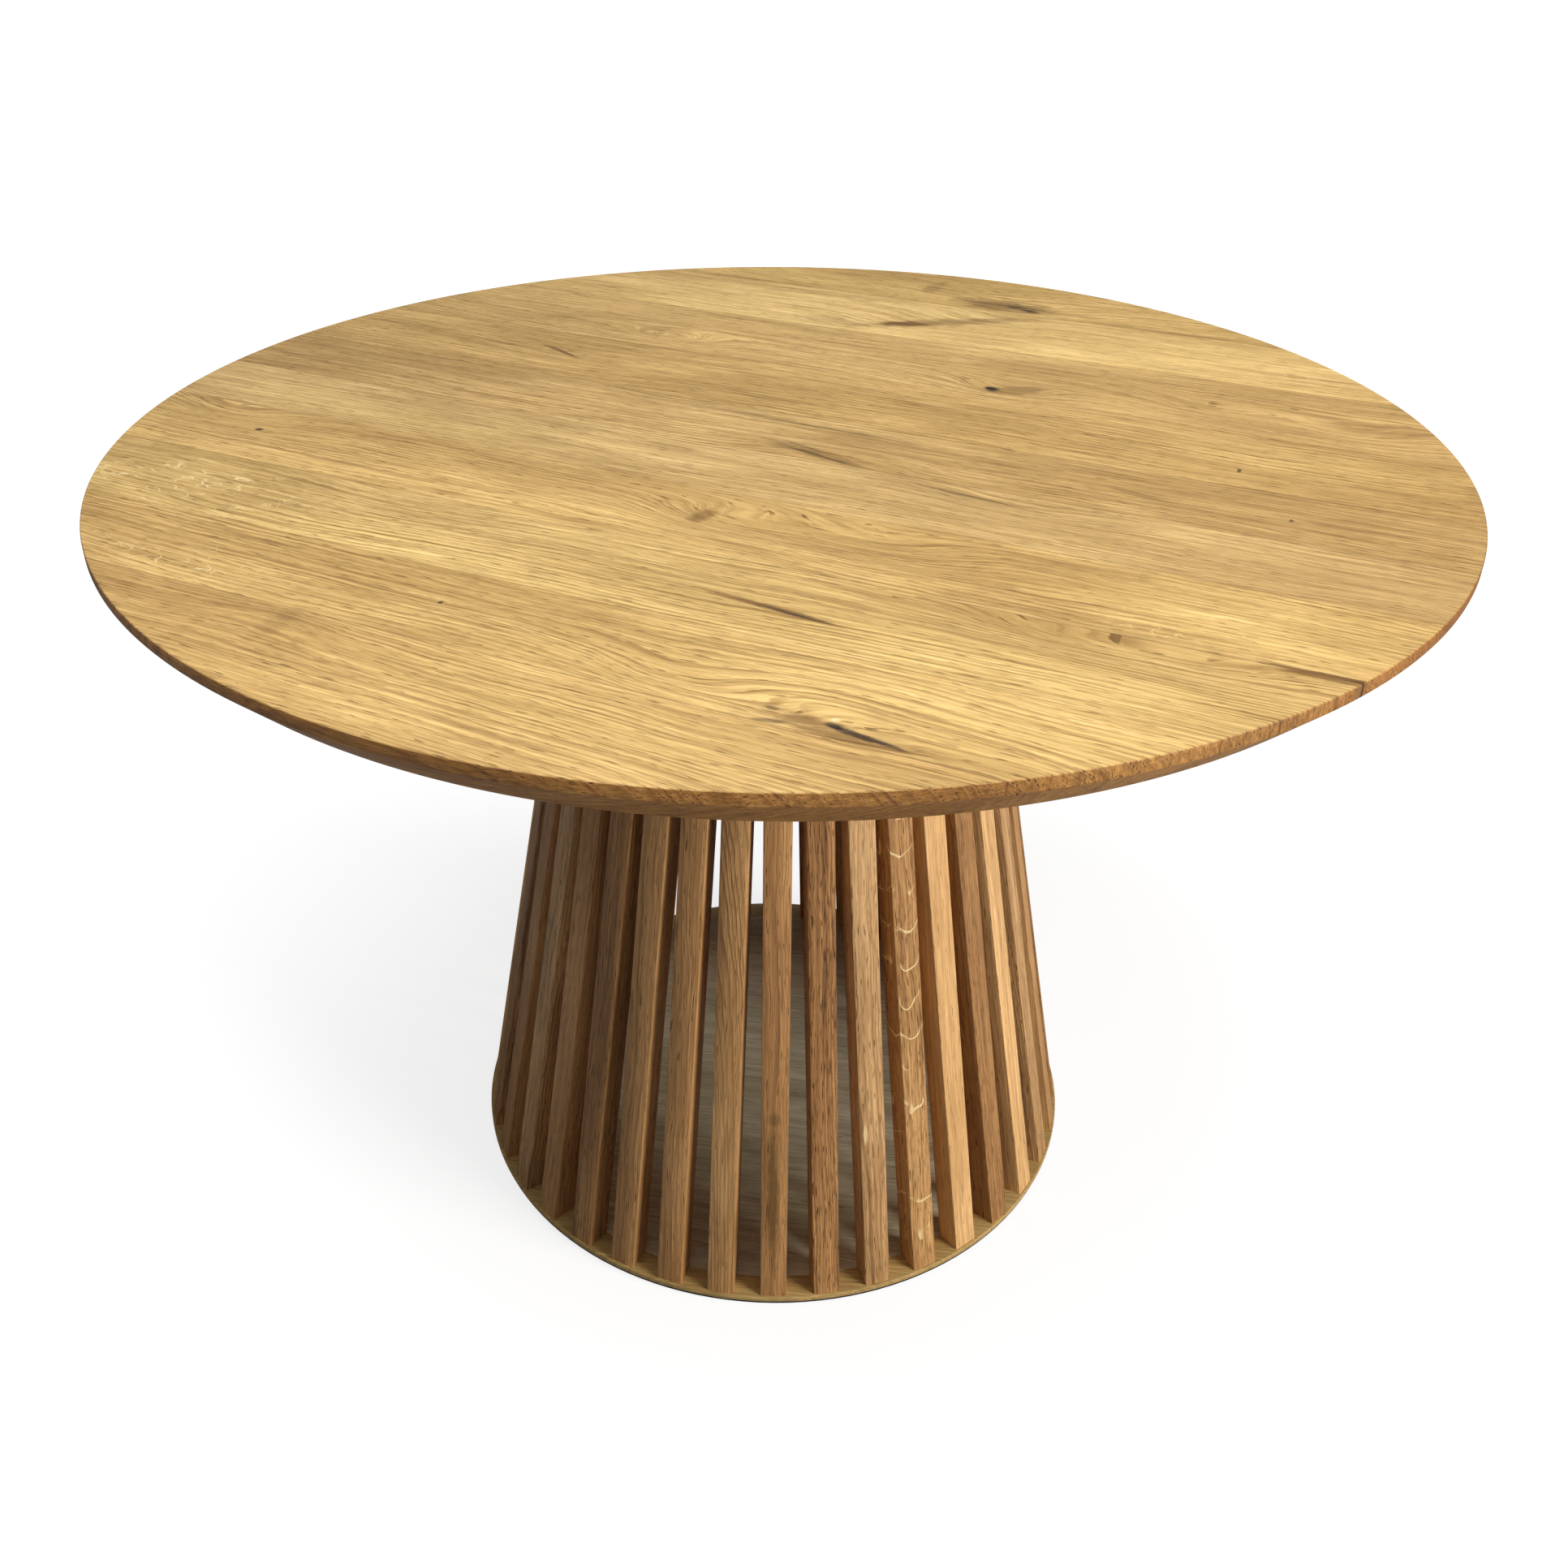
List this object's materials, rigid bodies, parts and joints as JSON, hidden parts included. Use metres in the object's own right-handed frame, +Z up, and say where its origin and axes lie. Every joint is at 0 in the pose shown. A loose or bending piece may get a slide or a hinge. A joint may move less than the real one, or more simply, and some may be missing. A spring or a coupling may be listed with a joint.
{
  "type": "round pedestal table",
  "caption": "Round solid oak dining table: a bevelled, edge-glued top on a cone-shaped cage of leaning square slats, standing on a thin oak disc over a black steel base plate.",
  "frame": {"origin": "on the floor under the centre of the table, at the bottom of the felt pads", "axes": "+Z up along the table's axis; +X to the right and +Y away as seen from the side that faces the viewer; the top's grain runs 24.5 degrees clockwise from +X"},
  "size_m": [1.1499, 1.15, 0.755],
  "materials": {
    "oak_top": "oiled, satin",
    "oak_slats": "oiled, satin",
    "oak_foot": "oiled, satin",
    "black_steel": "matt black powder coat",
    "zinc_steel": "bright zinc plated",
    "brass": "plain brass",
    "felt": "dense felt"
  },
  "bodies": {
    "root": {"top_stave_01": "oak_top", "top_stave_02": "oak_top", "top_stave_03": "oak_top", "top_stave_04": "oak_top", "top_stave_05": "oak_top", "top_stave_06": "oak_top", "top_stave_07": "oak_top", "top_stave_08": "oak_top", "top_stave_09": "oak_top", "top_stave_10": "oak_top", "slat_01": "oak_slats", "slat_02": "oak_slats", "slat_03": "oak_slats", "slat_04": "oak_slats", "slat_05": "oak_slats", "slat_06": "oak_slats", "slat_07": "oak_slats", "slat_08": "oak_slats", "slat_09": "oak_slats", "slat_10": "oak_slats", "slat_11": "oak_slats", "slat_12": "oak_slats", "slat_13": "oak_slats", "slat_14": "oak_slats", "slat_15": "oak_slats", "slat_16": "oak_slats", "slat_17": "oak_slats", "slat_18": "oak_slats", "slat_19": "oak_slats", "slat_20": "oak_slats", "slat_21": "oak_slats", "slat_22": "oak_slats", "slat_23": "oak_slats", "slat_24": "oak_slats", "slat_25": "oak_slats", "slat_26": "oak_slats", "slat_27": "oak_slats", "slat_28": "oak_slats", "slat_29": "oak_slats", "slat_30": "oak_slats", "slat_31": "oak_slats", "slat_32": "oak_slats", "slat_33": "oak_slats", "slat_34": "oak_slats", "slat_35": "oak_slats", "slat_36": "oak_slats", "slat_37": "oak_slats", "slat_38": "oak_slats", "base_disc": "oak_foot", "base_plate": "black_steel", "top_plate": "black_steel", "stiffener_channel_left": "black_steel", "stiffener_channel_right": "black_steel", "stiffener_screws": "zinc_steel", "slat_head_screws": "zinc_steel", "slat_foot_screws": "zinc_steel", "top_bolts": "zinc_steel", "top_inserts": "brass", "felt_pads": "felt"}
  },
  "joints": []
}
